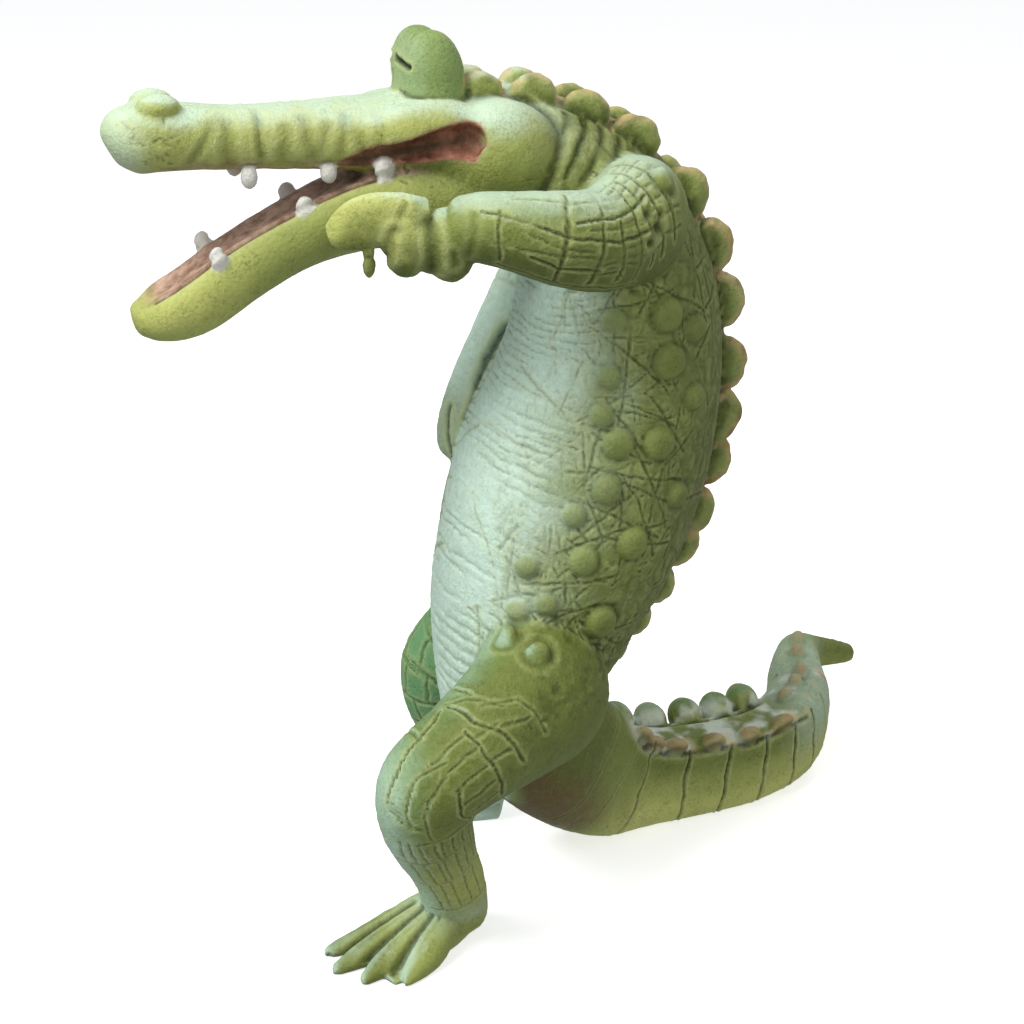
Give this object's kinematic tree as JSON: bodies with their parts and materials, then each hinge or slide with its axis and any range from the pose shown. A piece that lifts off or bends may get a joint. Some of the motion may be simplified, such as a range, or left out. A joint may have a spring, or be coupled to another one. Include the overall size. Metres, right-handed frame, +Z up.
{
  "type": "crocodile sculpture",
  "caption": "Painted cast figure of a laughing crocodile that stands upright on its hind feet and tail, jaws wide open, one arm raised under its jaw and the other on its belly.",
  "frame": {"origin": "on the surface that the figure stands on, under the middle of its box", "axes": "+Z up, the figure's face looks along -Y, its left side is +X and its tail lies towards +Y"},
  "size_m": [0.1406, 0.2882, 0.2838],
  "materials": {
    "painted_resin": "satin"
  },
  "bodies": {
    "root": {"crocodile": "painted_resin"}
  },
  "joints": []
}
